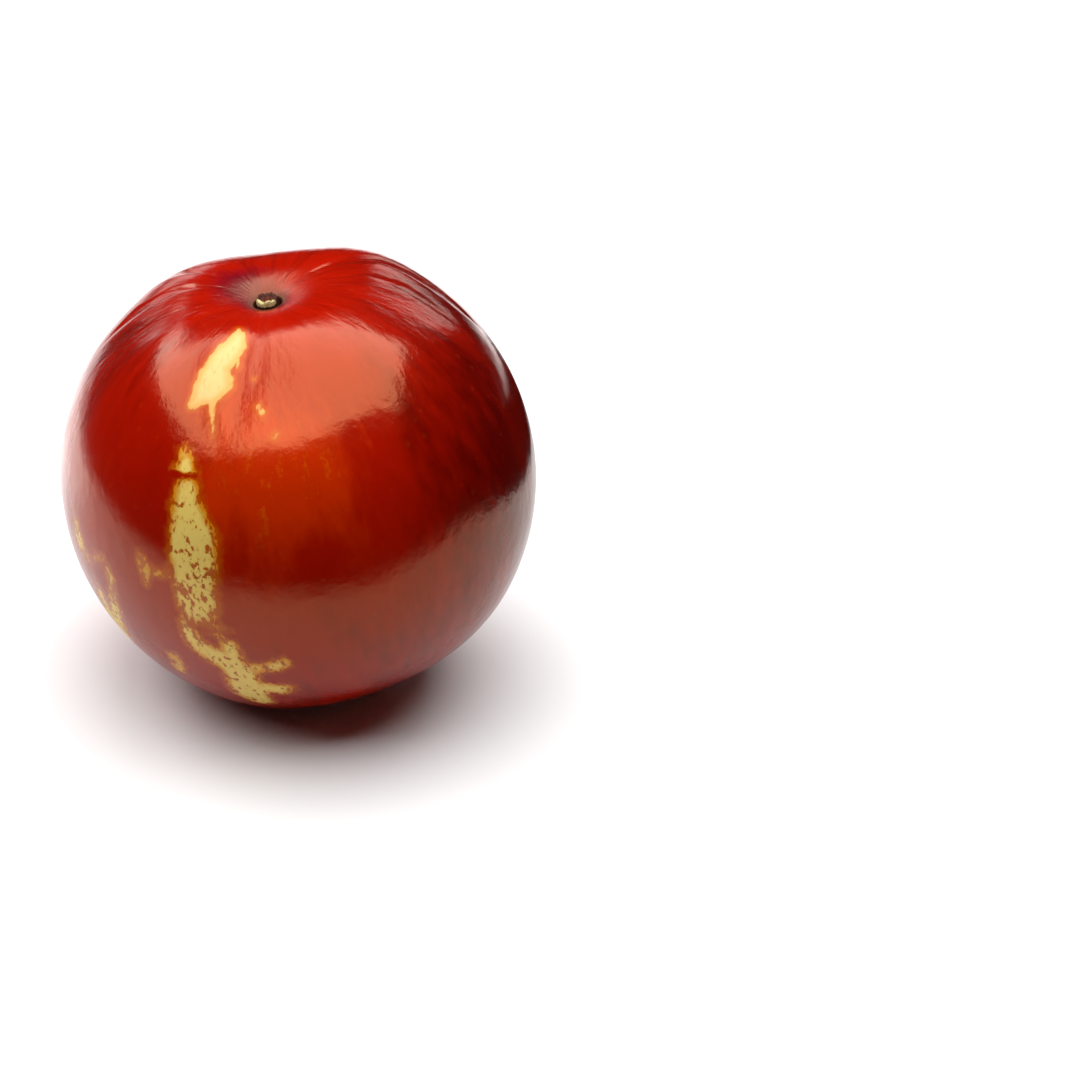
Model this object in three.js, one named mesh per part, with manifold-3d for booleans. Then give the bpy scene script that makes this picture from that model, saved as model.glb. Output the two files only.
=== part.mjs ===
// A whole fresh jujube standing on its blossom end. It is a nearly round fruit with broad, four-lobed
// shoulders, a shallow hollow round the stalk, a dimple under the blossom end, and the broken stub of its
// stalk in the hollow. Millimetres, +Z up. The origin is on the surface that the fruit stands on, under the
// middle of its width.
import * as THREE from "three";
import { mergeVertices } from "three/addons/utils/BufferGeometryUtils.js";
import Module from "manifold-3d";

const wasm = await Module();
wasm.setup();

// Driving dimensions of the fruit
const fruitWidth = 40; // across the widest girth
const flattening = 0.038; // how much shorter than wide the body is
const shoulderWidth = 0.004; // how much broader the stalk half is than the blossom half
const boxiness = 0.01; // how far the shoulders stand out past a plain oval
const outOfRound = 0.0205; // how oval the girth is
const ovalTurn = THREE.MathUtils.degToRad(-53);

// The hollow at the stalk, and the dimple at the blossom end: depth, and how wide each spreads
const stalkDish = { depth: 1.4, spread: 4.8 };
const stalkPit = { depth: 0.75, spread: 1.75 };
const blossomDimple = { depth: 0.8, spread: 1.8 };

// The shoulders rise in four soft lobes, with one narrow furrow that runs down from the stalk
const lobes = { count: 4, height: 0.4, firstDip: -2, polar: 38, spread: 13.5 };
const footLobes = { count: 3, height: 0.3, firstDip: 57, polar: 150, spread: 20 };
const furrow = { longitude: -101, depth: 0.24, halfWidth: 1.15, polar: 28, spread: 17 };

// The socket in the middle of the hollow, and the stub of the stalk that stands in it
const socket = { radius: 1.2, depth: 1.1, fairedFrom: 1.6, fairedTo: 6 };
const stub = { radius: 0.92, clearance: 0.28, stands: 0.42, chamfer: 0.12, rimWidth: 0.3, hollow: 0.26 };
const tear = { height: 0.09, bites: 5, slant: 0.6, turn: 1 };

// How the fruit stands: its stalk end leans to the left, and its weight rests on a small flat spot
const leanLeft = THREE.MathUtils.degToRad(8.8);
const leanForward = THREE.MathUtils.degToRad(0.6);
const restDepth = 0.32; // the flat spot lies this far above the lowest point of the round form

const girthSteps = 88;
const profileSteps = 42;
const endCrowding = 0.55; // how much closer together the steps lie at both ends of the profile
const stubSteps = 28;

const bell = (x) => Math.exp(-x * x);

// Distance from the middle of the fruit to its skin at a polar angle from the stalk, for a mean radius of 1
function bodyRadius(polar) {
  return (
    1 -
    flattening * Math.cos(2 * polar) -
    shoulderWidth * Math.cos(3 * polar) -
    boxiness * Math.cos(4 * polar)
  );
}

const meanRadius = fruitWidth / 2 / bodyRadius(Math.PI / 2);

// A point of the profile: x is the distance from the fruit's own axis, and y runs along it to the stalk
function profilePoint(polar) {
  const reach = meanRadius * bodyRadius(polar);
  const out = reach * Math.sin(polar);
  const along = reach * Math.cos(polar);
  const stalkHollow =
    stalkDish.depth * bell(out / stalkDish.spread) +
    stalkPit.depth * bell(out / stalkPit.spread);
  const dimple = blossomDimple.depth * bell(out / blossomDimple.spread);
  return new THREE.Vector2(out, along > 0 ? along - stalkHollow : along + dimple);
}

// How far the skin stands out of its plain profile: the lobes at both ends and the furrow
function relief(polar, longitude, out) {
  const near = (form) => bell((THREE.MathUtils.radToDeg(polar) - form.polar) / form.spread);
  const ripple = (form) =>
    -form.height *
    near(form) *
    Math.cos(form.count * (longitude - THREE.MathUtils.degToRad(form.firstDip)));
  const aside = out * Math.sin(longitude - THREE.MathUtils.degToRad(furrow.longitude));
  const sameSide = Math.cos(longitude - THREE.MathUtils.degToRad(furrow.longitude)) > 0;
  const groove = sameSide ? furrow.depth * near(furrow) * bell(aside / furrow.halfWidth) : 0;
  return ripple(lobes) + ripple(footLobes) - groove;
}

function solidOf(geometry) {
  const bare = geometry.clone();
  bare.deleteAttribute("normal");
  bare.deleteAttribute("uv");
  const merged = mergeVertices(bare, 1e-4);
  return new wasm.Manifold(
    new wasm.Mesh({
      numProp: 3,
      vertProperties: new Float32Array(merged.getAttribute("position").array),
      triVerts: new Uint32Array(merged.getIndex().array),
    }),
  );
}

function geometryOf(solid) {
  const mesh = solid.getMesh();
  const geometry = new THREE.BufferGeometry();
  geometry.setAttribute("position", new THREE.BufferAttribute(mesh.vertProperties, 3));
  geometry.setIndex(new THREE.BufferAttribute(mesh.triVerts, 1));
  geometry.computeVertexNormals();
  return geometry;
}

// The fruit in its own frame, with its axis along +Z and the stalk end up
function fruitForm() {
  const socketPolar = socket.radius / (meanRadius * bodyRadius(0));
  const rim = profilePoint(socketPolar);
  const floor = rim.y - socket.depth;
  const profile = [new THREE.Vector2(0, floor), new THREE.Vector2(rim.x, floor)];
  for (let step = 0; step <= profileSteps; step += 1) {
    const share = step / profileSteps;
    const eased = share - (endCrowding * Math.sin(2 * Math.PI * share)) / (2 * Math.PI);
    profile.push(profilePoint(socketPolar + (Math.PI - socketPolar) * eased));
  }
  profile[profile.length - 1].x = 0;
  const form = new THREE.LatheGeometry(profile.reverse(), girthSteps).rotateX(Math.PI / 2);

  const spots = form.getAttribute("position");
  for (let index = 0; index < spots.count; index += 1) {
    const spot = new THREE.Vector3().fromBufferAttribute(spots, index);
    const out = Math.hypot(spot.x, spot.y);
    const longitude = Math.atan2(spot.y, spot.x);
    const polar = Math.atan2(out, spot.z);
    // The socket stays round, so nothing is raised near it
    const away = THREE.MathUtils.smoothstep(out, socket.fairedFrom, socket.fairedTo);
    const oval = 1 + away * outOfRound * Math.sin(polar) ** 2 * Math.cos(2 * (longitude - ovalTurn));
    const raised = (away * relief(polar, longitude, out)) / spot.length();
    spot.multiplyScalar(1 + raised);
    spots.setXYZ(index, spot.x * oval, spot.y * oval, spot.z);
  }
  return { form, floor, rim: rim.y };
}

// The stub of the stalk: a short corky peg with a hollow, torn top
function stubForm(floor, rim) {
  const bottom = floor + stub.clearance;
  const top = rim + stub.stands;
  const profile = [
    [0, bottom],
    [stub.radius - stub.chamfer, bottom],
    [stub.radius, bottom + stub.chamfer],
    [stub.radius, top - stub.chamfer],
    [stub.radius - stub.rimWidth / 2, top],
    [stub.radius - stub.rimWidth, top - stub.hollow / 2],
    [stub.radius / 3, top - stub.hollow],
    [0, top - stub.hollow],
  ].map(([out, along]) => new THREE.Vector2(out, along));
  const form = new THREE.LatheGeometry(profile, stubSteps).rotateX(Math.PI / 2);
  const spots = form.getAttribute("position");
  for (let index = 0; index < spots.count; index += 1) {
    const longitude = Math.atan2(spots.getY(index), spots.getX(index));
    const out = Math.hypot(spots.getX(index), spots.getY(index));
    const height = THREE.MathUtils.clamp((spots.getZ(index) - rim) / stub.stands, 0, 1);
    const slanted = tear.slant * Math.cos(2 * (longitude + tear.turn));
    const ragged = Math.cos(tear.bites * longitude + tear.turn) + slanted;
    spots.setZ(index, spots.getZ(index) + (tear.height * height * ragged * out) / stub.radius);
  }
  return form;
}

const skin = new THREE.MeshStandardMaterial({ name: "skin", color: 0x9e1c06, roughness: 0.22 });
const cork = new THREE.MeshStandardMaterial({ name: "stalk", color: 0xb09a68, roughness: 0.85 });

const standing = new THREE.Group();
standing.rotation.set(leanForward, -leanLeft, 0);
standing.updateMatrix();

const { form: roundForm, floor, rim } = fruitForm();

// The flat spot is cut square to the lean, so that the fruit stands as it leans
const stood = roundForm.clone().applyMatrix4(standing.matrix);
stood.computeBoundingBox();
const ground = stood.boundingBox.min.z + restDepth;
const under = new THREE.BoxGeometry(fruitWidth, fruitWidth, fruitWidth);
under.translate(0, 0, ground - fruitWidth / 2);
under.applyMatrix4(standing.matrix.clone().invert());
const fruit = new THREE.Mesh(geometryOf(solidOf(roundForm).subtract(solidOf(under))), skin);
fruit.name = "fruit";

const stalkStub = new THREE.Mesh(stubForm(floor, rim), cork);
stalkStub.name = "stalk_stub";

standing.add(fruit, stalkStub);
const middle = stood.boundingBox.getCenter(new THREE.Vector3());
standing.position.set(-middle.x, -middle.y, -ground);

const jujube = new THREE.Group();
jujube.name = "jujube";
jujube.add(standing);

export default jujube;
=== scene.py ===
# A whole fresh jujube: glossy red skin with pale streaks, fine dots and a torn stalk stub in its hollow.
# Metres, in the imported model's frame. The fruit's own frame has +Z along its axis to the stalk end.
import math
import bpy
import numpy as np
from mathutils import Matrix, Vector, noise


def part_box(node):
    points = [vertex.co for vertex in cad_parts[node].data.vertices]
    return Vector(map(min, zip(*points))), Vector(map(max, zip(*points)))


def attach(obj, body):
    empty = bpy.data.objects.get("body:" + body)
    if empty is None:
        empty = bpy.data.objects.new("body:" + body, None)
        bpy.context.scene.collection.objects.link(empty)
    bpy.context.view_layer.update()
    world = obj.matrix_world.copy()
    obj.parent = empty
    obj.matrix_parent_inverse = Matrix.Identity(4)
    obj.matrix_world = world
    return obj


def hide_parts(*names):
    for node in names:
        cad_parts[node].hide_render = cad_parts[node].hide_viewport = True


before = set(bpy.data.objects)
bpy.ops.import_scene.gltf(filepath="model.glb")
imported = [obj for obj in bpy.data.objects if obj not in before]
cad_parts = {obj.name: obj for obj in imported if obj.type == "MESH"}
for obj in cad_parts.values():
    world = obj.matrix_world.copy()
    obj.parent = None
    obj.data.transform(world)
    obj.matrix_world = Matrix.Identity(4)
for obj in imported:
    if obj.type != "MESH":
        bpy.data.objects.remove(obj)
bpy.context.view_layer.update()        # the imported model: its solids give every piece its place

scene = bpy.context.scene
mm = 0.001
rng = np.random.default_rng(11)


# Small tools for numbers

def bell(x):
    return np.exp(-x * x)


def easeBetween(x, low, high):
    share = np.clip((x - low) / (high - low), 0, 1)
    return share * share * (3 - 2 * share)


def fromSrgb(red, green, blue):
    # A colour written as it shows on screen, from 0 to 255, as the shaders need it
    shown = [channel / 255 for channel in (red, green, blue)]
    linear = [part / 12.92 if part <= 0.04045 else ((part + 0.055) / 1.055) ** 2.4 for part in shown]
    return (*linear, 1.0)


# The fruit's form, in millimetres and degrees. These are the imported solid's own values, except that the
# edges of the socket and of the flat spot are rounded here.
fruitShape = {
    "width": 40,
    "flattening": 0.038,          # how much shorter than wide the body is
    "shoulderWidth": 0.004,       # how much broader the stalk half is than the blossom half
    "boxiness": 0.01,             # how far the shoulders stand out past a plain oval
    "outOfRound": 0.0205,         # how oval the girth is
    "ovalTurn": -53,
    "stalkDish": (1.4, 4.8),      # depth and spread
    "stalkPit": (0.75, 1.75),
    "blossomDimple": (0.8, 1.8),
    "lobes": {"count": 4, "height": 0.4, "firstDip": -2, "polar": 38, "spread": 13.5},
    "footLobes": {"count": 3, "height": 0.3, "firstDip": 57, "polar": 150, "spread": 20},
    "furrow": {"longitude": -101, "depth": 0.24, "halfWidth": 1.15, "polar": 28, "spread": 17},
    "socketRadius": 1.2,
    "socketDepth": 1.1,
    "socketRounding": 0.14,
    "socketFloorRing": 0.45,      # a ring of points on the socket's floor, as a share of its radius
    "socketRimTurns": (0, 25, 50, 75),
    "fairedFrom": 1.6,            # relief fades in between these distances from the axis
    "fairedTo": 6,
    "leanLeft": 8.8,
    "leanForward": 0.6,
    "restDepth": 0.32,            # the flat spot lies this far above the lowest point of the round form
    "restSoftness": 0.03,         # rounding of the flat spot's edge
}

fineRelief = {
    "girthSteps": 404,
    "profileSteps": 212,
    "endCrowding": 0.5,           # how much closer together the steps lie at both ends of the profile
    "fadesIn": (1.3, 3),          # all of the fine relief grows between these distances from the axis
    "swells": [(7.0, 0.04), (3.2, 0.024), (1.5, 0.01)],   # size and height of the soft unevenness
    "folds": [(3.4, 0.06), (8.5, 0.013)],     # folds that run down from the stalk: how many, and how high
    "foldsFadeIn": (2.5, 8),
    "foldPolar": 34,              # where the folds are highest, in degrees from the stalk
    "foldSpread": 24,
    "foldSway": 0.16,             # how far they wander to the sides, in radians
    "foldChange": 1.3,            # how fast they change on their way down
    "creaseSide": 0.7,            # a crease is at its full depth this far in from its edge
}

# Single folds in the skin: how deep, and a line of (longitude, latitude, half width in millimetres)
creases = [
    (0.13, [(36, 75, 0.3), (34, 64, 1.0), (32, 55, 1.1), (23, 47, 1.2), (14, 38, 1.0), (8, 28, 0.1)]),
    (0.06, [(18, 68, 0.2), (9, 54, 0.9), (2, 45, 0.8), (-3, 36, 0.1)]),
    (0.1, [(150, 76, 0.3), (155, 62, 1.0), (160, 52, 1.1), (168, 36, 0.1)]),
    (0.08, [(136, 72, 0.2), (133, 60, 0.9), (135, 50, 1.0), (139, 36, 0.1)]),
]


def bodyRadius(polar):
    # Distance from the fruit's middle to its plain skin, for a mean radius of 1
    shape = fruitShape
    return (1 - shape["flattening"] * np.cos(2 * polar) - shape["shoulderWidth"] * np.cos(3 * polar)
            - shape["boxiness"] * np.cos(4 * polar))


meanRadius = fruitShape["width"] / 2 / bodyRadius(math.pi / 2)


def profilePoint(polar):
    # Distance from the fruit's axis, and height along it
    reach = meanRadius * bodyRadius(polar)
    out = reach * np.sin(polar)
    along = reach * np.cos(polar)
    dishDepth, dishSpread = fruitShape["stalkDish"]
    pitDepth, pitSpread = fruitShape["stalkPit"]
    dimpleDepth, dimpleSpread = fruitShape["blossomDimple"]
    hollow = dishDepth * bell(out / dishSpread) + pitDepth * bell(out / pitSpread)
    dimple = dimpleDepth * bell(out / dimpleSpread)
    return out, np.where(along > 0, along - hollow, along + dimple)


def skinRelief(polar, longitude, out):
    # How far the skin stands out of its plain profile: lobes at both ends, and the furrow
    polarDegrees = np.degrees(polar)

    def ripple(form):
        near = bell((polarDegrees - form["polar"]) / form["spread"])
        return -form["height"] * near * np.cos(form["count"] * (longitude - math.radians(form["firstDip"])))

    furrow = fruitShape["furrow"]
    turn = longitude - math.radians(furrow["longitude"])
    near = bell((polarDegrees - furrow["polar"]) / furrow["spread"])
    groove = furrow["depth"] * near * bell(out * np.sin(turn) / furrow["halfWidth"]) * (np.cos(turn) > 0)
    return ripple(fruitShape["lobes"]) + ripple(fruitShape["footLobes"]) - groove


def onGlobe(longitude, latitude):
    # A direction from the fruit's middle, at the mean radius in millimetres
    longitude = np.radians(longitude)
    latitude = np.radians(latitude)
    level = np.cos(latitude)
    direction = [level * np.cos(longitude), level * np.sin(longitude), np.sin(latitude)]
    return meanRadius * np.stack(direction, axis=-1)


farOutside = -4.0                 # what the streaks' fields fall to where no streak is near, in millimetres
otherEnd = 20.0                   # the distance that a field gives at the fruit's other end, in millimetres


def insideStreaks(globePlaces, lines):
    # Millimetres inside the nearest streak, and negative outside all of them
    best = np.full(len(globePlaces), farOutside)
    for line in lines:
        for (longitudeA, latitudeA, widthA), (longitudeB, latitudeB, widthB) in zip(line[:-1], line[1:]):
            start = onGlobe(longitudeA, latitudeA)
            run = onGlobe(longitudeB, latitudeB) - start
            share = np.clip((globePlaces - start) @ run / (run @ run), 0, 1)
            distance = np.linalg.norm(globePlaces - start - share[:, None] * run, axis=1)
            best = np.maximum(best, widthA + (widthB - widthA) * share - distance)
    return best


def noiseAt(points):
    return np.array([noise.noise(point) for point in points])


def unevenness(places, polar, longitude):
    # Fine relief that only the shown skin has: soft swells all over, folds near the stalk, and creases
    fine = fineRelief
    height = np.zeros(len(places))
    for size, rise in fine["swells"]:
        height += rise * noiseAt(Vector(place) / size + Vector((size, 0, 0)) for place in places)
    near = bell((np.degrees(polar) - fine["foldPolar"]) / fine["foldSpread"])
    near = near * easeBetween(np.hypot(places[:, 0], places[:, 1]), *fine["foldsFadeIn"])
    turned = longitude + fine["foldSway"] * np.sin(3 * polar + 2 * longitude)
    down = fine["foldChange"] * polar
    for count, rise in fine["folds"]:
        around = np.stack([count * np.cos(turned), count * np.sin(turned), down], axis=1)
        height += rise * near * noiseAt(Vector(place) for place in around)
    globePlaces = onGlobe(np.degrees(longitude), 90 - np.degrees(polar))
    for depth, line in creases:
        height -= depth * easeBetween(insideStreaks(globePlaces, [line]), 0, fine["creaseSide"])
    return height


def fruitGrid():
    # The rings of points from the socket's floor to the blossom end, as distances from the axis and heights
    # along it, and then the heights of the socket's floor and of the tip
    shape = fruitShape
    radius = shape["socketRadius"]
    rounding = shape["socketRounding"]
    startPolar = (radius + rounding) / (meanRadius * bodyRadius(0))
    share = np.linspace(0, 1, fineRelief["profileSteps"])
    eased = share - fineRelief["endCrowding"] * np.sin(2 * math.pi * share) / (2 * math.pi)
    polar = startPolar + (math.pi - startPolar) * eased
    out, along = profilePoint(polar[:-1])
    rimHeight = along[0]
    floorHeight = rimHeight - shape["socketDepth"]
    wall = [(shape["socketFloorRing"] * radius, floorHeight), (radius - rounding, floorHeight)]
    wall += [(radius, floorHeight + rounding), (radius, (floorHeight + rimHeight) / 2)]
    for turn in shape["socketRimTurns"]:
        outwards = rounding * (1 - math.cos(math.radians(turn)))
        down = rounding * (1 - math.sin(math.radians(turn)))
        wall.append((radius + outwards, rimHeight - down))
    wallOut, wallAlong = np.array(wall).T
    out = np.concatenate([wallOut, out])
    along = np.concatenate([wallAlong, along])
    tipHeight = float(profilePoint(np.array([math.pi]))[1][0])
    return out, along, floorHeight, tipHeight


def fruitPoints():
    # Every point of the fine skin in the fruit's own frame, in millimetres: two ends first, then the rows
    out, along, floorHeight, tipHeight = fruitGrid()
    longitudes = np.linspace(-math.pi, math.pi, fineRelief["girthSteps"], endpoint=False)
    outGrid, longitudeGrid = np.meshgrid(out, longitudes, indexing="ij")
    alongGrid = np.repeat(along[:, None], len(longitudes), axis=1)
    flatOut = np.concatenate([[0, 0], outGrid.ravel()])
    flatAlong = np.concatenate([[floorHeight, tipHeight], alongGrid.ravel()])
    longitude = np.concatenate([[0, 0], longitudeGrid.ravel()])
    polar = np.arctan2(flatOut, flatAlong)
    away = easeBetween(flatOut, fruitShape["fairedFrom"], fruitShape["fairedTo"])
    turn = longitude - math.radians(fruitShape["ovalTurn"])
    oval = 1 + away * fruitShape["outOfRound"] * np.sin(polar) ** 2 * np.cos(2 * turn)
    places = np.stack([flatOut * np.cos(longitude), flatOut * np.sin(longitude), flatAlong], axis=1)
    raised = away * skinRelief(polar, longitude, flatOut)
    raised += easeBetween(flatOut, *fineRelief["fadesIn"]) * unevenness(places, polar, longitude)
    places *= (1 + raised / np.linalg.norm(places, axis=1))[:, None]
    places[:, :2] *= oval[:, None]
    return places, polar, longitude, len(out)


# Standing: the lean, the flat spot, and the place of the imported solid

leanTurn = (Matrix.Rotation(math.radians(fruitShape["leanForward"]), 3, "X")
            @ Matrix.Rotation(-math.radians(fruitShape["leanLeft"]), 3, "Y"))
leanArray = np.array(leanTurn)
fruitLow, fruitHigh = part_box("fruit")


def standUp(places):
    # How much to scale the leaned form, and where to shift it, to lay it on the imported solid
    leaned = places @ leanArray.T
    low = leaned.min(axis=0)
    high = leaned.max(axis=0)
    ground = low[2] + fruitShape["restDepth"]
    foot = np.array([(low[0] + high[0]) / 2, (low[1] + high[1]) / 2, ground])
    solidFoot = np.array([(fruitLow.x + fruitHigh.x) / 2, (fruitLow.y + fruitHigh.y) / 2, fruitLow.z])
    size = (fruitHigh.z - fruitLow.z) / (high[2] - ground)
    return size, solidFoot - foot * size


def softFloor(heights):
    # Presses what lies below the floor up to it, which leaves the flat spot with a soft edge
    soft = fruitShape["restSoftness"] * mm
    return fruitLow.z + soft * np.logaddexp(0, (heights - fruitLow.z) / soft)


def intoFrame(places, size, shift):
    return (places @ leanArray.T) * size + shift


# Meshes

def makeMesh(name, points, faces, material):
    mesh = bpy.data.meshes.new(name)
    mesh.from_pydata(np.asarray(points).tolist(), [], faces)
    mesh.polygons.foreach_set("use_smooth", [True] * len(mesh.polygons))
    mesh.update()
    piece = bpy.data.objects.new(name, mesh)
    scene.collection.objects.link(piece)
    mesh.materials.append(material)
    return piece


def ringFaces(rows, columns, start):
    # Quads between rings of points, whose first point has the index start
    faces = []
    for row in range(rows - 1):
        ring = start + row * columns
        nextRing = ring + columns
        for column in range(columns):
            following = (column + 1) % columns
            faces.append((ring + column, nextRing + column, nextRing + following, ring + following))
    return faces


def capFaces(centre, columns, start, outwards):
    # Triangles from a ring of points to its centre
    ring = [start + column for column in range(columns)]
    pairs = zip(ring, ring[1:] + ring[:1])
    return [(centre, near, far) if outwards else (centre, far, near) for near, far in pairs]


def addField(piece, name, values):
    # A number, or three, at each point, for the material to read
    values = np.asarray(values, dtype=np.float32)
    vector = values.ndim == 2
    field = piece.data.attributes.new(name, "FLOAT_VECTOR" if vector else "FLOAT", "POINT")
    field.data.foreach_set("vector" if vector else "value", values.ravel())


# Shader nodes

def addNode(tree, kind, inputs=None, **settings):
    node = tree.nodes.new("ShaderNode" + kind)
    for name, value in settings.items():
        setattr(node, name, value)
    for name, value in (inputs or {}).items():
        socket = node.inputs[name]
        if isinstance(value, bpy.types.NodeSocket):
            tree.links.new(value, socket)
        else:
            socket.default_value = value
    return node


def calc(tree, operation, *values):
    return addNode(tree, "Math", dict(enumerate(values)), operation=operation).outputs[0]


def ramp(tree, value, low, high, start=0.0, end=1.0):
    # A soft step of a value, from start at low to end at high
    inputs = {"Value": value, "From Min": low, "From Max": high, "To Min": start, "To Max": end}
    return addNode(tree, "MapRange", inputs, interpolation_type="SMOOTHSTEP").outputs[0]


def mixColours(tree, share, first, second):
    return addNode(tree, "Mix", {0: share, 6: first, 7: second}, data_type="RGBA").outputs[2]


def readField(tree, name, output="Fac"):
    return addNode(tree, "Attribute", attribute_name=name).outputs[output]


def stretched(tree, place, scale):
    return addNode(tree, "VectorMath", {0: place, 1: scale}, operation="MULTIPLY").outputs[0]


def newGroup(name, inputs, outputs):
    group = bpy.data.node_groups.new(name, "ShaderNodeTree")
    kinds = {"float": "NodeSocketFloat", "vector": "NodeSocketVector", "colour": "NodeSocketColor"}
    for socket, (kind, value) in inputs.items():
        made = group.interface.new_socket(socket, in_out="INPUT", socket_type=kinds[kind])
        made.default_value = value
    for socket, kind in outputs.items():
        group.interface.new_socket(socket, in_out="OUTPUT", socket_type=kinds[kind])
    start = group.nodes.new("NodeGroupInput")
    end = group.nodes.new("NodeGroupOutput")
    return group, start.outputs, end.inputs


def useGroup(tree, group, inputs):
    return addNode(tree, "Group", inputs, node_tree=group).outputs


def makeBreakup():
    # Uneven growth: a centred fractal value, from about -1 to 1, at a size in millimetres
    group, start, end = newGroup(
        "uneven growth",
        {"Place": ("vector", (0, 0, 0)), "Size": ("float", 1.0), "Roughness": ("float", 0.55)},
        {"Value": "float"})
    finer = calc(group, "DIVIDE", 1.0, start["Size"])
    grain = addNode(group, "TexNoise", {
        "Vector": start["Place"], "Scale": finer, "Detail": 4.0, "Roughness": start["Roughness"]})
    spread = 3.2                  # the noise keeps near its middle, 0.5
    centred = calc(group, "MULTIPLY_ADD", grain.outputs["Fac"], spread, -spread / 2)
    group.links.new(centred, end["Value"])
    return group


def makeDots():
    # Fine round dots of uneven size, such as lenticels and pores
    group, start, end = newGroup(
        "fine dots",
        {"Place": ("vector", (0, 0, 0)), "Spacing": ("float", 1.0), "Dot": ("float", 0.2),
         "Softness": ("float", 0.1)},
        {"Mask": "float"})
    finer = calc(group, "DIVIDE", 1.0, start["Spacing"])
    cells = addNode(group, "TexVoronoi", {"Vector": start["Place"], "Scale": finer, "Randomness": 0.9})
    random = addNode(group, "SeparateColor", {"Color": cells.outputs["Color"]}).outputs[0]
    uneven = calc(group, "MULTIPLY_ADD", random, 0.9, 0.35)       # from a third of Dot to a quarter over it
    radius = calc(group, "MULTIPLY", start["Dot"], uneven)
    inside = calc(group, "SUBTRACT", radius, cells.outputs["Distance"])
    mask = addNode(group, "MapRange", {
        "Value": inside, "From Min": calc(group, "MULTIPLY", start["Softness"], -1.0),
        "From Max": start["Softness"]}, interpolation_type="SMOOTHSTEP")
    group.links.new(mask.outputs[0], end["Mask"])
    return group


breakup = makeBreakup()
dots = makeDots()


def newMaterial(name):
    material = bpy.data.materials.new(name)
    material.use_nodes = True
    tree = material.node_tree
    return material, tree, tree.nodes["Principled BSDF"]


# The skin

skinLook = {
    "red": fromSrgb(162, 16, 0),
    "brightRed": fromSrgb(194, 42, 0),
    "maroon": fromSrgb(84, 2, 0),
    "orange": fromSrgb(206, 82, 6),
    "cream": fromSrgb(214, 190, 124),
    "straw": fromSrgb(244, 212, 110),
    "gold": fromSrgb(216, 136, 14),
    "fringe": fromSrgb(196, 92, 4),
    "rust": fromSrgb(128, 40, 8),
    "paleDot": fromSrgb(196, 76, 20),
    "scarBrown": fromSrgb(82, 40, 30),
    # painted shade with a purple painted reflection, in the hollow beside the stalk and in a ring round it
    "hollowShade": fromSrgb(84, 2, 26),
    "roughness": 0.15,
    "creamRoughness": 0.34,
    "highlightTint": (0.86, 0.4, 0.18, 1.0),
    "specular": 1.0,
    "bumpHeight": 0.015,          # in millimetres
    "lenticels": {"Spacing": 1.5, "Dot": 0.13, "Softness": 0.06},
    "lenticelStrength": 0.07,
    "fringeStrength": 0.5,
    "goldOnCream": 0.55,
    "redPitStrength": 0.9,

    # Uneven growth: its size in millimetres, its roughness, and its scale along the meridians, where a small
    # one draws it out. With None it is even in every direction.
    "growth": {
        "broad": (5.0, 0.55, 0.35),
        "fine": (1.1, 0.55, 0.45),
        "speckled": (0.45, 0.7, None),
        "ragged": (1.5, 0.62, 0.55),
        "crumbs": (0.42, 0.5, 0.7),
        "coarse": (0.85, 0.6, None),
        "scarEdge": (1.2, 0.6, None),
        "blotchy": (2.6, 0.7, None),
        "wax": (2.4, 0.55, None),
        "ripples": (1.3, 0.55, 0.8),
        "grain": (0.28, 0.6, None),
    },

    # Soft steps of colour and gloss. Two numbers are where a step starts and ends, and two more are its
    # values there, where they aren't 0 and 1. Distances are in millimetres.
    "steps": {
        "red": (0.15, 0.5),                   # by ripeness and painted shade
        "maroon": (0.5, 1.15),
        "orangeUntil": (0.5, 0.0),
        "orange": (0.15, 0.8),                # by the fine and the speckled growth
        "wholeEdge": (-0.06, 0.14),           # by how far inside a streak
        "brokenEdge": (-0.08, 0.1),
        "fringe": (-0.55, 0.05),
        "goldenEdge": (0.85, 0.1),
        "moreRedPits": (0.1, 0.9, 0.35, 0.0),
        "redPits": (0.46, 0.8),               # by the crumbs, and what is added to them
        "goldenCrumbs": (0.0, 0.8, 0.0, 0.7),
        "hollowShade": (4.2, 0.4, 0.0, 0.9),       # by the distance from the painted hollow shade, the stalk or the tip
        # a ring of painted shade round the stalk's pit
        "stalkShadeRing": (2.6, 1.2, 0.0, 0.85),
        "stalkScar": (1.75, 1.25),
        "tipRust": (1.3, 0.5, 0.0, 0.85),
        "tipScar": (0.5, 0.3),
        "scarDull": (1.8, 1.2, 0.0, 0.3),
        "hollowDull": (5.5, 1.5, 0.0, 0.1),
    },

    # How far uneven growth, or another value, pushes each value up and down
    "pushes": {
        "ripeByBroad": 0.22,
        "ripeByFine": 0.12,
        "mottleBySpeckles": 0.5,
        "wholeByRagged": 0.22,
        "wholeByCrumbs": 0.1,
        "brokenByRagged": 0.5,
        "brokenByCrumbs": 0.22,
        "pitsByPlace": 0.5,
        "pitsByCoarse": 0.6,
        "hollowShadeByBlotches": 1.0,
        "stalkRingByEdge": 0.16,
        "tipRingByEdge": 0.12,
        "roughnessByWax": 0.03,
        "heightByGrain": 0.15,
        "heightByLenticels": 0.25,
        "heightByStreaks": -0.5,
    },
}


def grown(tree, name):
    size, roughness, alongMeridian = skinLook["growth"][name]
    place = readField(tree, "growthPlace" if alongMeridian else "ownPlace", "Vector")
    if alongMeridian:
        place = stretched(tree, place, (1, 1, alongMeridian))
    return useGroup(tree, breakup, {"Place": place, "Size": size, "Roughness": roughness})["Value"]


def step(tree, value, name):
    return ramp(tree, value, *skinLook["steps"][name])


def pushed(tree, value, growth, name):
    return calc(tree, "MULTIPLY_ADD", growth, skinLook["pushes"][name], value)


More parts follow.
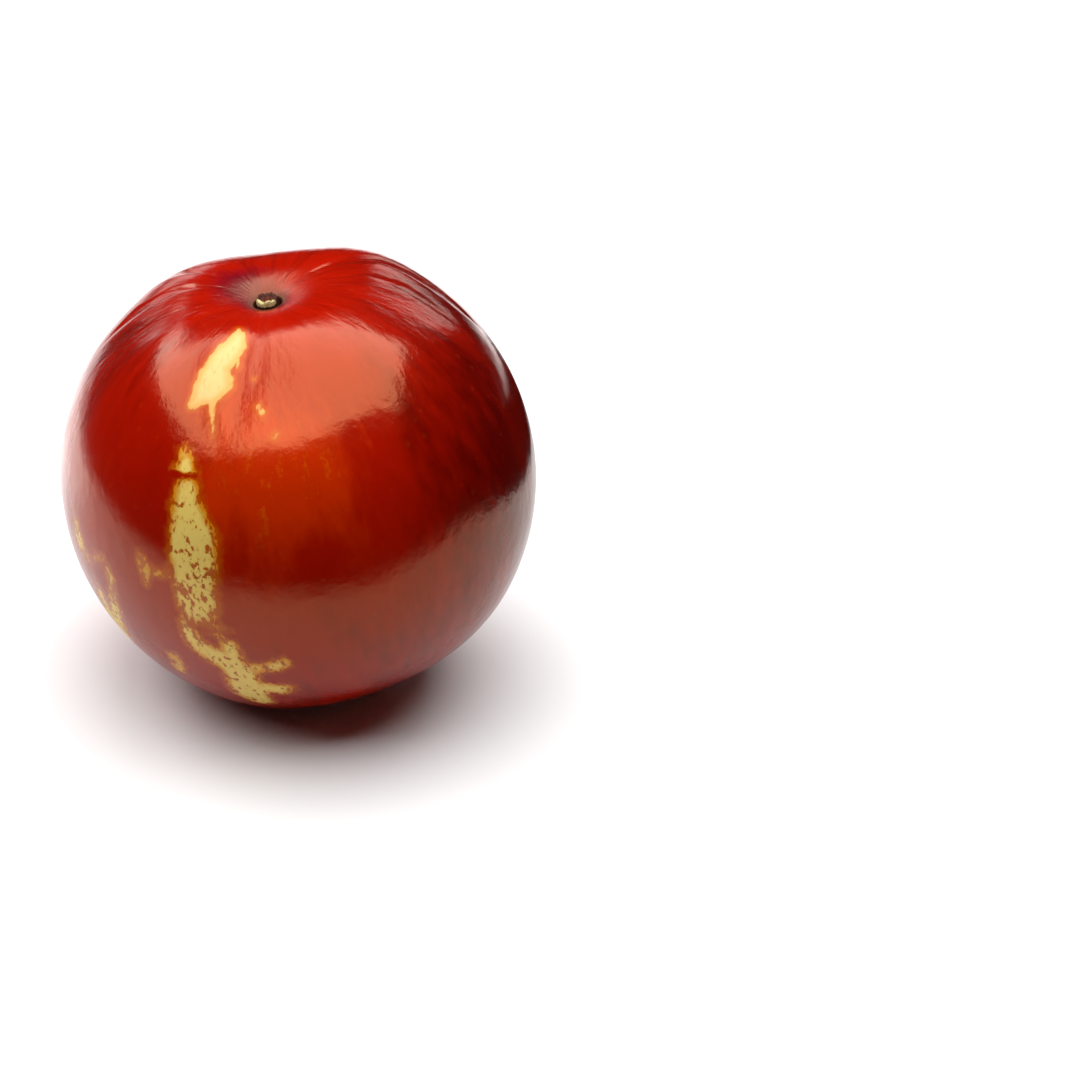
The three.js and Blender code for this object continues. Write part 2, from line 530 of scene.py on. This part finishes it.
def skinColour(tree, look, lenticels):
    # Ripening and painted shade, from orange through red to maroon, broken up along the meridians
    fine = grown(tree, "fine")
    ripeAndShaded = pushed(tree, readField(tree, "ripenessAndShade"), grown(tree, "broad"), "ripeByBroad")
    ripeAndShaded = pushed(tree, ripeAndShaded, fine, "ripeByFine")
    colour = mixColours(tree, step(tree, ripeAndShaded, "red"), look["brightRed"], look["red"])
    colour = mixColours(tree, step(tree, ripeAndShaded, "maroon"), colour, look["maroon"])
    mottle = pushed(tree, fine, grown(tree, "speckled"), "mottleBySpeckles")
    mottled = calc(tree, "MULTIPLY", step(tree, mottle, "orange"), step(tree, ripeAndShaded, "orangeUntil"))
    colour = mixColours(tree, mottled, colour, look["orange"])
    dotted = calc(tree, "MULTIPLY", lenticels, look["lenticelStrength"])
    return mixColours(tree, dotted, colour, look["paleDot"])


def streakMasks(tree, look):
    # The fields are millimetres inside a streak, and uneven growth along the meridians frays its edges
    ragged = grown(tree, "ragged")
    crumbs = grown(tree, "crumbs")
    wholeInside = pushed(tree, readField(tree, "wholeStreak"), ragged, "wholeByRagged")
    wholeInside = pushed(tree, wholeInside, crumbs, "wholeByCrumbs")
    brokenInside = pushed(tree, readField(tree, "brokenStreak"), ragged, "brokenByRagged")
    brokenInside = pushed(tree, brokenInside, crumbs, "brokenByCrumbs")
    whole = step(tree, wholeInside, "wholeEdge")
    broken = step(tree, brokenInside, "brokenEdge")

    # Pits of red skin are left in the broken streaks, most of them round the girth and near the edges
    pits = pushed(tree, crumbs, readField(tree, "pitting"), "pitsByPlace")
    pits = pushed(tree, pits, grown(tree, "coarse"), "pitsByCoarse")
    pits = calc(tree, "ADD", pits, step(tree, brokenInside, "moreRedPits"))
    unpitted = calc(tree, "MULTIPLY_ADD", step(tree, pits, "redPits"), -look["redPitStrength"], 1.0)
    broken = calc(tree, "MULTIPLY", broken, unpitted)
    nearBy = calc(tree, "MAXIMUM", wholeInside, brokenInside)
    golden = calc(tree, "MAXIMUM", step(tree, nearBy, "goldenEdge"), step(tree, crumbs, "goldenCrumbs"))
    return whole, broken, step(tree, nearBy, "fringe"), golden


def addStreaks(tree, look, colour, masks):
    whole, broken, fringe, golden = masks
    straw = mixColours(tree, golden, look["straw"], look["gold"])
    lessGolden = calc(tree, "MULTIPLY", golden, look["goldOnCream"])
    cream = mixColours(tree, lessGolden, look["cream"], look["gold"])
    fringed = calc(tree, "MULTIPLY", fringe, look["fringeStrength"])
    colour = mixColours(tree, fringed, colour, look["fringe"])
    colour = mixColours(tree, broken, colour, straw)
    return mixColours(tree, whole, colour, cream)


def addScars(tree, look, colour, stalkRing):
    # Painted shade with a purple painted reflection beside the stalk, painted shade and a dark corky ring
    # round it, and a small brown scar at the blossom end
    hollowShaded = pushed(tree, readField(tree, "fromHollowShade"), grown(tree, "blotchy"), "hollowShadeByBlotches")
    tipRing = pushed(tree, readField(tree, "fromTip"), grown(tree, "scarEdge"), "tipRingByEdge")
    colour = mixColours(tree, step(tree, hollowShaded, "hollowShade"), colour, look["hollowShade"])
    colour = mixColours(tree, step(tree, stalkRing, "stalkShadeRing"), colour, look["hollowShade"])
    colour = mixColours(tree, step(tree, stalkRing, "stalkScar"), colour, look["scarBrown"])
    colour = mixColours(tree, step(tree, tipRing, "tipRust"), colour, look["rust"])
    return mixColours(tree, step(tree, tipRing, "tipScar"), colour, look["scarBrown"])


def makeSkin(look):
    material, tree, shader = newMaterial("jujube skin")
    place = readField(tree, "ownPlace", "Vector")
    fromStalk = readField(tree, "fromStalk")
    stalkRing = pushed(tree, fromStalk, grown(tree, "scarEdge"), "stalkRingByEdge")
    lenticels = useGroup(tree, dots, {"Place": place, **look["lenticels"]})["Mask"]
    masks = streakMasks(tree, look)
    pale = calc(tree, "MAXIMUM", masks[0], masks[1])
    colour = skinColour(tree, look, lenticels)
    colour = addStreaks(tree, look, colour, masks)
    colour = addScars(tree, look, colour, stalkRing)
    tree.links.new(colour, shader.inputs["Base Color"])

    # Gloss: a waxy skin, a little duller on the pale streaks and near the stalk
    roughness = pushed(tree, look["roughness"], grown(tree, "wax"), "roughnessByWax")
    roughness = addNode(tree, "Mix", {0: pale, 2: roughness, 3: look["creamRoughness"]}).outputs[0]
    roughness = calc(tree, "ADD", roughness, step(tree, stalkRing, "scarDull"))
    roughness = calc(tree, "ADD", roughness, step(tree, fromStalk, "hollowDull"))
    tree.links.new(roughness, shader.inputs["Roughness"])

    # Relief finer than the mesh: drawn-out ripples, pores and the edges of the streaks
    height = pushed(tree, grown(tree, "ripples"), grown(tree, "grain"), "heightByGrain")
    height = pushed(tree, height, lenticels, "heightByLenticels")
    height = pushed(tree, height, pale, "heightByStreaks")
    bump = addNode(tree, "Bump", {"Height": height, "Distance": look["bumpHeight"] * mm, "Strength": 1.0})
    tree.links.new(bump.outputs[0], shader.inputs["Normal"])

    shader.inputs["Specular IOR Level"].default_value = look["specular"]
    shader.inputs["Specular Tint"].default_value = look["highlightTint"]
    return material


# Streaks, each a line of (longitude, latitude, half width in millimetres) with ragged edges.
# Longitude 0 is to the right, -90 towards the viewer, and latitude 90 is the stalk end.
wholeStreaks = [
    [(-112.2, 71.4, 0.2), (-109.5, 68.7, 0.72), (-109.2, 65.7, 0.98), (-111, 63.5, 1.15), (-112.8, 61, 1.2),
     (-114.5, 58.7, 1.05), (-113.9, 56.2, 1.32), (-113.2, 53.6, 1.45), (-114, 52.4, 1.4)],
    [(-116.2, 50.6, 0.9), (-118.2, 48, 0.45)],
    [(-107.6, 62.4, 0.45), (-105.2, 60.4, 0.2), (-104.5, 58.9, 0.1)],
    [(-107.2, 56, 0.3), (-106.4, 53.4, 0.26)],
    [(-111.5, 49.4, 0.38), (-110.8, 46.2, 0.26), (-110, 43.7, 0.16), (-109.2, 41, 0.05)],
]
brokenStreaks = [
    [(-117.2, 38.2, 0.14), (-117.5, 36.2, 0.62), (-116.8, 35.2, 0.4), (-116.8, 34.2, 0.8),
     (-116.8, 33, 1.2)],
    [(-115.6, 27.4, 1.25), (-115.5, 23.2, 1.6), (-114.7, 20.7, 1.8), (-114, 17.6, 2.2),
     (-114, 13.4, 2.25), (-114.5, 9.1, 2.3), (-114.7, 4.6, 2.2), (-114.7, 0.9, 2), (-115, -1.6, 1.7)],
    [(-129, 8.4, 0.6), (-128.2, 6.6, 0.8), (-128.6, 3.2, 0.5)],
    [(-126.5, 6.4, 0.4), (-123.2, 6, 0.5), (-120.5, 7.2, 0.6)],
    [(-120, -6.9, 0.45), (-119.3, -10.1, 0.95), (-117.8, -13.9, 1.25), (-114.5, -16.4, 1.4),
     (-110.6, -19.2, 1.6), (-109, -22.7, 1.7), (-109.6, -28, 1.8), (-110, -33, 1.7), (-109, -38, 1.2)],
    [(-109.4, -12.4, 0.95), (-109.2, -15.4, 1.15), (-108.8, -19.7, 1.2)],
    [(-106, -20.6, 0.9), (-101.7, -19.7, 0.8), (-96.5, -18.4, 0.5)],
    [(-105, -29, 1.1), (-99, -30, 0.9)],
    [(-128.5, -20.7, 0.65), (-128.2, -23.2, 0.7), (-130.2, -27.2, 0.5)],
    [(-113.8, -6.1, 0.2), (-109.7, -6.6, 0.25), (-106.8, -7.6, 0.15)],
    [(-113.8, -9.1, 0.35), (-111.5, -9.4, 0.3)],
    [(-159.8, 10.6, 0.3), (-158.2, 7.6, 0.7), (-157.2, 3.1, 1.3), (-153.8, 0.6, 0.8)],
    [(-148.8, 2.1, 0.4), (-144, 4.2, 0.4)],
    [(-143.5, 2.9, 0.45), (-142.5, -0.9, 0.65), (-144.2, -6.9, 0.75), (-146.2, -12.9, 1.1),
     (-151.5, -19.9, 1.6), (-154.2, -25.9, 1.3)],
    [(-151.8, -8.6, 0.7), (-152.5, -12.9, 1.1), (-153.8, -17.6, 1.3)],
]
# Thin red gaps that part the broken streaks, and how sharply they cut them
streakGaps = [[(-121, 31, 0.2), (-116.5, 30.9, 0.17), (-112, 30.7, 0.2)]]
gapSharpness = 14

# Small flecks: longitude, latitude, radius in millimetres
flecks = [(-94.8, 48, 0.24), (-93.6, 46.6, 0.28), (-89.2, 40.4, 0.15), (-90, 39.6, 0.12),
          (-96.2, 55.7, 0.1)]

# The far side, which the photograph doesn't show. Longitudes, latitudes and lengths are in degrees.
hiddenStreaks = {
    "count": 7,
    "longitudes": (24, 156),
    "spacing": 4,                 # each starts at least this far inside its own share of the far side
    "lowest": -48,
    "belowHorizon": 14,           # how far they keep below the photograph's outline, if they can
    "length": (9, 34),
    "halfWidth": (0.35, 1.5),     # at the widest, in millimetres
    "evenWidth": 0.25,            # the share of the width that is the same all along
    "taper": (0.08, 0.92),        # the rest follows this part of half a wave
    "unevenWidth": (0.7, 1.15),
    "points": 5,
    "drift": 5,                   # how far a streak slants, at most
    "wobble": 1,                  # how far its points stray to the sides, at most
    "fleckCount": 16,
    "fleckRadius": (0.12, 0.4),
}


def highestHidden(streaks, longitude):
    # The photograph's outline runs over the shoulders, so the far side reaches highest at its middle
    slope = math.tan(math.radians(cameraPlan["elevation"]))
    outline = math.degrees(math.atan(math.sin(math.radians(longitude)) / slope))
    return outline - streaks["belowHorizon"]


def growHiddenStreaks(streaks):
    # Like the ones that show: narrow at both ends, and nearly along a meridian
    lines = []
    spans = np.linspace(*streaks["longitudes"], streaks["count"] + 1)
    spacing, lowest, drift, wobble = (streaks[name] for name in ("spacing", "lowest", "drift", "wobble"))
    for start, end in zip(spans[:-1], spans[1:]):
        longitude = rng.uniform(start + spacing, end - spacing)
        length = rng.uniform(*streaks["length"])
        highest = highestHidden(streaks, longitude)
        middle = rng.uniform(lowest + length / 2, max(highest - length / 2, lowest + length))
        widest = rng.uniform(*streaks["halfWidth"])
        slant = rng.uniform(-drift, drift)
        line = []
        for share in np.linspace(0, 1, streaks["points"]):
            wave = math.sin(math.pi * np.interp(share, (0, 1), streaks["taper"]))
            width = widest * (streaks["evenWidth"] + (1 - streaks["evenWidth"]) * wave)
            width *= rng.uniform(*streaks["unevenWidth"])
            aside = slant * share + rng.uniform(-wobble, wobble)
            line.append((longitude + aside, middle + length * (0.5 - share), width))
        lines.append(line)
    specks = []
    for _ in range(streaks["fleckCount"]):
        longitude = rng.uniform(*streaks["longitudes"])
        latitude = rng.uniform(lowest, highestHidden(streaks, longitude))
        specks.append((longitude, latitude, rng.uniform(*streaks["fleckRadius"])))
    return lines, specks


def insideFlecks(globePlaces, specks):
    best = np.full(len(globePlaces), farOutside)
    for longitude, latitude, radius in specks:
        best = np.maximum(best, radius - np.linalg.norm(globePlaces - onGlobe(longitude, latitude), axis=1))
    return best


hollowShadePlace = (-1.9, 2.0)         # the middle of the painted shade with a purple painted reflection beside the stalk, in millimetres

# How many red pits the broken streaks have, by degrees of latitude below the girth: more from the shoulder
# down to the girth, and fewer again on the way to the foot
pittingPlan = {"atShoulder": 0.3, "moreOver": (-24, -4), "fewerOver": (7, 18), "fewerBy": 0.6}

# Ripening over the fruit, with painted shade on the right flank and towards the foot: 0 is orange red and 1
# is maroon. Each patch has a place, a size in millimetres and a push.
basicRipeness = 0.48
ripeAndShadedPatches = [
    (-66, 8, 15, -0.1),           # mottled over the middle
    (-88, 25, 8, -0.25),
    (-84, 33, 5.5, -0.34),        # speckled with orange between the streaks and the flank
    (-22, 12, 17, 0.62),          # painted shade: the right flank darkened to maroon
    (100, 64, 9, 0.16),           # behind the stalk
    (-174, 50, 7, 0.4),           # the dark left shoulder
    (24, 40, 7, 0.22),            # the right shoulder
    (150, -10, 14, -0.2),         # the far left flank
    (70, -35, 14, 0.2),           # low on the far side
    (-90, -40, 16, 0.12),         # painted shade: darker towards the foot
]


def ripenessAndShadeAt(globePlaces):
    ripeAndShaded = np.full(len(globePlaces), basicRipeness)
    for longitude, latitude, size, push in ripeAndShadedPatches:
        distance = np.linalg.norm(globePlaces - onGlobe(longitude, latitude), axis=1)
        ripeAndShaded += push * bell(distance / size)
    return ripeAndShaded


def pittingAt(plan, south):
    more = plan["atShoulder"] + (1 - plan["atShoulder"]) * easeBetween(south, *plan["moreOver"])
    return more * (1 - plan["fewerBy"] * easeBetween(south, *plan["fewerOver"]))


def addSkinFields(piece, places, polar, longitude):
    # What the skin's material reads at each point
    globePlaces = meanRadius * places / np.linalg.norm(places, axis=1)[:, None]
    hiddenLines, hiddenSpecks = growHiddenStreaks(hiddenStreaks)
    latitude = math.pi / 2 - polar
    out = np.hypot(places[:, 0], places[:, 1])
    fromHollowShade = np.hypot(places[:, 0] - hollowShadePlace[0], places[:, 1] - hollowShadePlace[1])
    stalkEnd = places[:, 2] > 0
    broken = insideStreaks(globePlaces, brokenStreaks + hiddenLines)
    broken = np.minimum(broken, -gapSharpness * insideStreaks(globePlaces, streakGaps))
    whole = insideStreaks(globePlaces, wholeStreaks)
    fields = {
        "ownPlace": places,       # millimetres, in the fruit's own frame
        "growthPlace": meanRadius * np.stack([np.cos(longitude), np.sin(longitude), latitude], axis=1),
        "wholeStreak": np.maximum(whole, insideFlecks(globePlaces, flecks)),
        "brokenStreak": np.maximum(broken, insideFlecks(globePlaces, hiddenSpecks)),
        "ripenessAndShade": ripenessAndShadeAt(globePlaces),
        "pitting": pittingAt(pittingPlan, -np.degrees(latitude)),
        "fromStalk": np.where(stalkEnd, out, otherEnd),
        "fromHollowShade": np.where(stalkEnd, fromHollowShade, otherEnd),
        "fromTip": np.where(stalkEnd, otherEnd, out),
    }
    for name, values in fields.items():
        addField(piece, name, values)


def makeFruit():
    places, polar, longitude, rows = fruitPoints()
    size, shift = standUp(places)
    framed = intoFrame(places, size, shift)
    framed[:, 2] = softFloor(framed[:, 2])
    columns = fineRelief["girthSteps"]
    faces = capFaces(0, columns, 2, False)
    faces += ringFaces(rows, columns, 2)
    faces += capFaces(1, columns, 2 + (rows - 1) * columns, True)
    piece = makeMesh("jujube_fruit", framed, [face[::-1] for face in faces], makeSkin(skinLook))
    addSkinFields(piece, places, polar, longitude)
    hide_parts("fruit")
    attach(piece, "root")
    print("fruit:", len(piece.data.polygons), "faces, size against the solid", round(size / mm, 4))
    return size, shift


# The stub of the stalk, in millimetres

stubShape = {
    "radius": 0.92,
    "stands": 0.42,               # above the socket's rim
    "rimWidth": 0.32,
    "hollow": 0.3,
    "overFloor": 0.02,            # between its foot and the socket's floor
    "footRise": 0.06,
    "sideRings": 8,
    "sideFrom": 0.15,             # where the rings of its side start, as a share of the side's height
    "sideRoom": 0.2,              # what the foot and the rim take off the side's height
    "flare": (1.02, 0.97),        # its radius at the foot and under the rim, as shares of the radius
    "fibres": 17,                 # ridges down its side
    "fibreSway": 1.5,
    "fibreHeight": 0.035,
    "fineFibres": [(29, 0.6, 2)],             # ripples: how many, how high beside the others, and their turn
    "tears": [(5, 1, 1 + math.pi / 2), (2, 0.6, 2 + math.pi / 2), (13, 0.5, 0), (31, 0.35, 0)],
    "tearHeight": 0.078,
    "tearFrom": 0.1,              # how far under the socket's rim the tearing starts
    "columns": 96,
}

stubLook = {
    "bark": fromSrgb(92, 44, 22),
    "cream": fromSrgb(206, 192, 132),
    "pith": fromSrgb(150, 66, 30),
    "dark": fromSrgb(44, 14, 8),
    "pithStrength": 0.85,
    "roughness": 0.8,
    "specular": 0.3,
    "bumpHeight": 0.03,
    "fibreSize": 0.16,
    "fibreDrawnOut": (1, 1, 0.3),
    "darkToBark": (-0.5, 0.9),    # by the fibres
    "tornEdge": (0.35, 0.6),      # by the field tornRim, with the fibres pushing it
    "tornByFibres": 0.22,
    "pores": {"Spacing": 0.16, "Dot": 0.35, "Softness": 0.12},
    "poreStrength": 0.35,
    "poreDepth": 0.6,
    "paleToLeft": 0.35,           # how far the pale, freshly torn side is turned left from the viewer
    "paleSide": (-0.1, 0.7),      # over what part of the radius it gets pale
    "paleHeight": (-0.3, 0.3),    # and over what part of the stub's height
    "sunkRadius": 0.4,            # the dark hollow, as a share of the radius
}


def makeStubMaterial(look):
    material, tree, shader = newMaterial("torn stalk")
    place = readField(tree, "ownPlace", "Vector")
    drawnOut = stretched(tree, place, look["fibreDrawnOut"])
    fibre = useGroup(tree, breakup, {"Place": drawnOut, "Size": look["fibreSize"]})["Value"]
    pores = useGroup(tree, dots, {"Place": place, **look["pores"]})["Mask"]
    torn = calc(tree, "MULTIPLY_ADD", fibre, look["tornByFibres"], readField(tree, "tornRim"))
    pith = calc(tree, "MULTIPLY", readField(tree, "sunk"), look["pithStrength"])
    colour = mixColours(tree, ramp(tree, fibre, *look["darkToBark"]), look["dark"], look["bark"])
    colour = mixColours(tree, pith, colour, look["pith"])
    colour = mixColours(tree, ramp(tree, torn, *look["tornEdge"]), colour, look["cream"])
    colour = mixColours(tree, calc(tree, "MULTIPLY", pores, look["poreStrength"]), colour, look["bark"])
    tree.links.new(colour, shader.inputs["Base Color"])
    height = calc(tree, "MULTIPLY_ADD", pores, -look["poreDepth"], fibre)
    bump = addNode(tree, "Bump", {"Height": height, "Distance": look["bumpHeight"] * mm})
    tree.links.new(bump.outputs[0], shader.inputs["Normal"])
    shader.inputs["Roughness"].default_value = look["roughness"]
    shader.inputs["Specular IOR Level"].default_value = look["specular"]
    return material


def ripplesRound(angle, ripples):
    return sum(height * np.sin(count * angle + turn) for count, height, turn in ripples)


def stubRings(shape, bottom, top):
    # The stub's plain profile, in shares of its radius and of its hollow's depth: from its foot up its side,
    # over the rim and down into the hollow
    radius, rim, hollow = shape["radius"], shape["rimWidth"], shape["hollow"]
    wide, narrow = shape["flare"]
    foot = bottom + shape["footRise"]
    side = top - bottom - shape["sideRoom"]
    rings = [(radius * 0.6, bottom), (radius * wide, foot)]
    for share in np.linspace(shape["sideFrom"], 1, shape["sideRings"]):
        rings.append((radius * (wide + (narrow - wide) * share), foot + side * share))
    rings += [(radius * 0.94, top - 0.05), (radius * 0.88, top), (radius - 0.6 * rim, top)]
    rings += [(radius - rim, top - 0.3 * hollow), (radius * 0.5, top - 0.85 * hollow)]
    rings.append((radius * 0.25, top - hollow))
    return rings


def makeStub(size, shift):
    shape = stubShape
    radius = shape["radius"]
    columns = shape["columns"]
    _, _, floorHeight, _ = fruitGrid()
    rimHeight = floorHeight + fruitShape["socketDepth"]
    bottom = floorHeight + shape["overFloor"]
    top = rimHeight + shape["stands"]
    rings = stubRings(shape, bottom, top)
    angles = np.linspace(-math.pi, math.pi, columns, endpoint=False)
    ringOut, ringAlong = np.array(rings).T
    out, angle = np.meshgrid(ringOut, angles, indexing="ij")
    along = np.repeat(ringAlong[:, None], columns, axis=1)

    # Fibres down the side, and a rim that tore unevenly
    edge = np.clip(out / radius, 0, 1)
    above = easeBetween(along, rimHeight - shape["tearFrom"], top)
    sway = shape["fibreSway"] * np.sin(2 * angle)
    fibres = np.sin(shape["fibres"] * angle + sway) + ripplesRound(angle, shape["fineFibres"])
    out = out + shape["fibreHeight"] * fibres * edge
    along = along + shape["tearHeight"] * above * edge * ripplesRound(angle, shape["tears"])
    ends = [[0, 0, bottom], [0, 0, top - 0.9 * shape["hollow"]]]
    points = np.stack([out * np.cos(angle), out * np.sin(angle), along], axis=-1).reshape(-1, 3)
    points = np.concatenate([ends, points])
    faces = capFaces(0, columns, 2, False) + ringFaces(len(rings), columns, 2)
    faces += capFaces(1, columns, 2 + (len(rings) - 1) * columns, True)
    piece = makeMesh("jujube_stalk_stub", intoFrame(points, size, shift), faces, makeStubMaterial(stubLook))

    # Freshly torn and pale on the side towards the viewer, and dried dark in its hollow
    look = stubLook
    height = (points[:, 2] - rimHeight) / shape["stands"]
    towardsViewer = (-points[:, 1] - look["paleToLeft"] * points[:, 0]) / radius
    torn = easeBetween(towardsViewer, *look["paleSide"]) * easeBetween(height, *look["paleHeight"])
    fromAxis = np.hypot(points[:, 0], points[:, 1])
    addField(piece, "ownPlace", points)
    addField(piece, "tornRim", torn)
    addField(piece, "sunk", bell(fromAxis / (look["sunkRadius"] * radius)) * (height > 0))
    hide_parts("stalk_stub")
    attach(piece, "root")
    print("stalk stub:", len(piece.data.polygons), "faces")


# Stage, lights and camera

stageLook = {
    "floorRadius": 3.0,
    "floorCorners": 64,
    "floorUnder": 0.005,          # how far it lies under the fruit, in millimetres
    "floorRoughness": 0.7,
    "floorSpecular": 0.1,
    "floorWhite": 0.84,           # as the camera sees it
    "floorForFruit": 0.68,        # the pool of white floor that lights the fruit and shows in its gloss
    "poolMiddle": (0.035, 0.095, 0),
    "poolFrom": 0.14,
    "poolTo": 0.165,
    # Brighter spots of floor, which only the fruit's left rim and its far right shoulder mirror:
    # the middle, where the soft edge starts and ends, and the glow
    "spots": [((-0.06, 0.05, 0), 0.022, 0.045, 0.9), ((0.036, 0.135, 0), 0.025, 0.055, 0.9)],
    "glowFrom": 0.22,             # the floor glows from here outwards, to stay white up to the horizon
    "glowTo": 0.75,
    "glow": 1.15,
    "skyForCamera": 1.0,
    "skyForFruit": 0.01,
}


def distanceFrom(tree, place, middle):
    return addNode(tree, "VectorMath", {0: place, 1: middle}, operation="DISTANCE").outputs["Value"]


def makeFloor(look):
    material, tree, shader = newMaterial("stage floor")
    seen = addNode(tree, "LightPath").outputs["Is Camera Ray"]
    place = addNode(tree, "TexCoord").outputs["Object"]
    fromPool = distanceFrom(tree, place, look["poolMiddle"])
    pool = ramp(tree, fromPool, look["poolFrom"], look["poolTo"], look["floorForFruit"], 0.0)
    white = addNode(tree, "MapRange", {"Value": seen, "To Min": pool, "To Max": look["floorWhite"]})
    tree.links.new(white.outputs[0], shader.inputs["Base Color"])
    shader.inputs["Roughness"].default_value = look["floorRoughness"]
    shader.inputs["Specular IOR Level"].default_value = look["floorSpecular"]

    # The camera sees a glow far out, and the fruit sees the two spots
    fromMiddle = distanceFrom(tree, place, (0, 0, 0))
    glow = ramp(tree, fromMiddle, look["glowFrom"], look["glowTo"], 0.0, look["glow"])
    glow = calc(tree, "MULTIPLY", glow, seen)
    for middle, edgeFrom, edgeTo, strength in look["spots"]:
        spot = ramp(tree, distanceFrom(tree, place, middle), edgeFrom, edgeTo, strength, 0.0)
        glow = calc(tree, "MULTIPLY_ADD", spot, calc(tree, "SUBTRACT", 1.0, seen), glow)
    shader.inputs["Emission Color"].default_value = (1, 1, 1, 1)
    tree.links.new(glow, shader.inputs["Emission Strength"])

    corners = look["floorCorners"]
    radius = look["floorRadius"]
    ring = [2 * math.pi * corner / corners for corner in range(corners)]
    points = [(radius * math.cos(angle), radius * math.sin(angle), 0) for angle in ring]
    floor = makeMesh("stage_floor", points, [list(range(corners))], material)
    floor.location.z = fruitLow.z - look["floorUnder"] * mm


def makeSky(look):
    world = bpy.data.worlds.new("studio sky")
    scene.world = world
    world.use_nodes = True
    tree = world.node_tree
    sky = tree.nodes["Background"]
    seen = addNode(tree, "LightPath").outputs["Is Camera Ray"]
    strength = addNode(tree, "MapRange", {
        "Value": seen, "To Min": look["skyForFruit"], "To Max": look["skyForCamera"]}).outputs[0]
    sky.inputs["Color"].default_value = (1, 1, 1, 1)
    tree.links.new(strength, sky.inputs["Strength"])


# Each lamp is a soft rectangle: its place, where it points, its two sizes in metres, and how bright it is
lightPlan = {
    "backRight": {"place": (0.31, 0.80, 0.28), "aim": (0, 0, 0.03), "size": (0.28, 0.15), "radiance": 1.6},
    "backLeft": {"place": (-0.26, 0.80, 0.09), "aim": (0, 0, 0.03), "size": (0.26, 0.13), "radiance": 1.1},
}

# Two bright panels overhead, with a slanting dark gap between them: corners in metres, and brightness
panelHeight = 0.5
panelPlan = {
    "right": {"radiance": 4.0, "corners": [
        (0.42, 0.43), (-0.19, 0.43), (-0.185, 0.04), (-0.19, -0.035), (-0.222, -0.105), (-0.285, -0.24),
        (-0.33, -0.32), (-0.05, -0.31), (0.2, -0.25), (0.42, -0.14)]},
    "left": {"radiance": 3.8, "corners": [
        (-0.21, 0.43), (-0.39, 0.43), (-0.39, 0.97), (-0.65, 0.97), (-0.65, -0.33), (-0.42, -0.35),
        (-0.352, -0.25), (-0.28, -0.12), (-0.245, -0.04), (-0.238, 0.06)]},
}

# A dark card behind the right flank, out of the camera's sight, keeps the pale floor out of the gloss there
cardPlan = {"corners": [(0.026, 0.052, 0), (0.12, -0.02, 0), (0.12, -0.02, 0.042), (0.026, 0.052, 0.014)],
            "shade": 0.004}


def makeSheet(name, corners, shade, radiance):
    # A flat sheet that the camera doesn't see: dark, or shining
    material, tree, shader = newMaterial(name)
    shader.inputs["Base Color"].default_value = (shade, shade, shade, 1)
    shader.inputs["Roughness"].default_value = 1.0
    shader.inputs["Specular IOR Level"].default_value = 0.0
    shader.inputs["Emission Color"].default_value = (1, 1, 1, 1)
    shader.inputs["Emission Strength"].default_value = radiance
    sheet = makeMesh(name, corners, [tuple(range(len(corners)))], material)
    sheet.visible_camera = False
    return sheet


def makePanels(plan):
    for side, panel in plan.items():
        corners = [(x, y, panelHeight) for x, y in panel["corners"]]
        makeSheet("stage_panel_" + side, corners, 0.0, panel["radiance"])


def makeCard(plan):
    card = makeSheet("stage_card", plan["corners"], plan["shade"], 0.0)
    card.visible_shadow = False
    card.visible_diffuse = False


def addLight(name, plan):
    data = bpy.data.lights.new(name, "AREA")
    data.shape = "RECTANGLE"
    data.size, data.size_y = plan["size"]
    data.energy = plan["radiance"] * math.pi * data.size * data.size_y
    lamp = bpy.data.objects.new(name, data)
    scene.collection.objects.link(lamp)
    lamp.location = plan["place"]
    direction = Vector(plan["aim"]) - Vector(plan["place"])
    lamp.rotation_euler = direction.to_track_quat("-Z", "Y").to_euler()
    lamp.visible_camera = False


cameraPlan = {
    "elevation": 30,
    "lens": 135,
    "sensor": 36,
    "imageSize": 1080,            # the photograph's pixels, each way
    "fruitMiddle": (298.6, 476.5),
    "fruitWidthPixels": 472.7,    # the girth, as it shows in the photograph
}


def makeCamera(plan):
    # The camera looks past the fruit, so that the fruit's middle lands on its pixel of the photograph
    focal = plan["lens"] / plan["sensor"] * plan["imageSize"]
    distance = focal * (fruitHigh.x - fruitLow.x) / plan["fruitWidthPixels"]
    elevation = math.radians(plan["elevation"])
    aside = (plan["fruitMiddle"][0] - plan["imageSize"] / 2) / focal
    above = (plan["imageSize"] / 2 - plan["fruitMiddle"][1]) / focal
    lookAtFruit = Matrix.Rotation(math.pi / 2 - elevation, 3, "X")
    lookPast = Vector((aside, above, -1)).rotation_difference(Vector((0, 0, -1))).to_matrix()
    data = bpy.data.cameras.new("camera")
    data.lens = plan["lens"]
    data.sensor_width = plan["sensor"]
    data.clip_start = 0.01
    data.clip_end = 10
    camera = bpy.data.objects.new("camera", data)
    scene.collection.objects.link(camera)
    middle = (fruitLow + fruitHigh) / 2
    camera.location = middle + distance * Vector((0, -math.cos(elevation), math.sin(elevation)))
    camera.rotation_euler = (lookAtFruit @ lookPast).to_euler()
    scene.camera = camera
    print("camera:", round(distance, 4), "m from the fruit's middle")


makeCamera(cameraPlan)
frameSize, frameShift = makeFruit()
makeStub(frameSize, frameShift)
makeFloor(stageLook)
makeSky(stageLook)
makePanels(panelPlan)
makeCard(cardPlan)
for lightName, lightValues in lightPlan.items():
    addLight(lightName, lightValues)
scene.view_settings.view_transform = "Standard"
scene.view_settings.look = "None"
print("stage and lights: done")
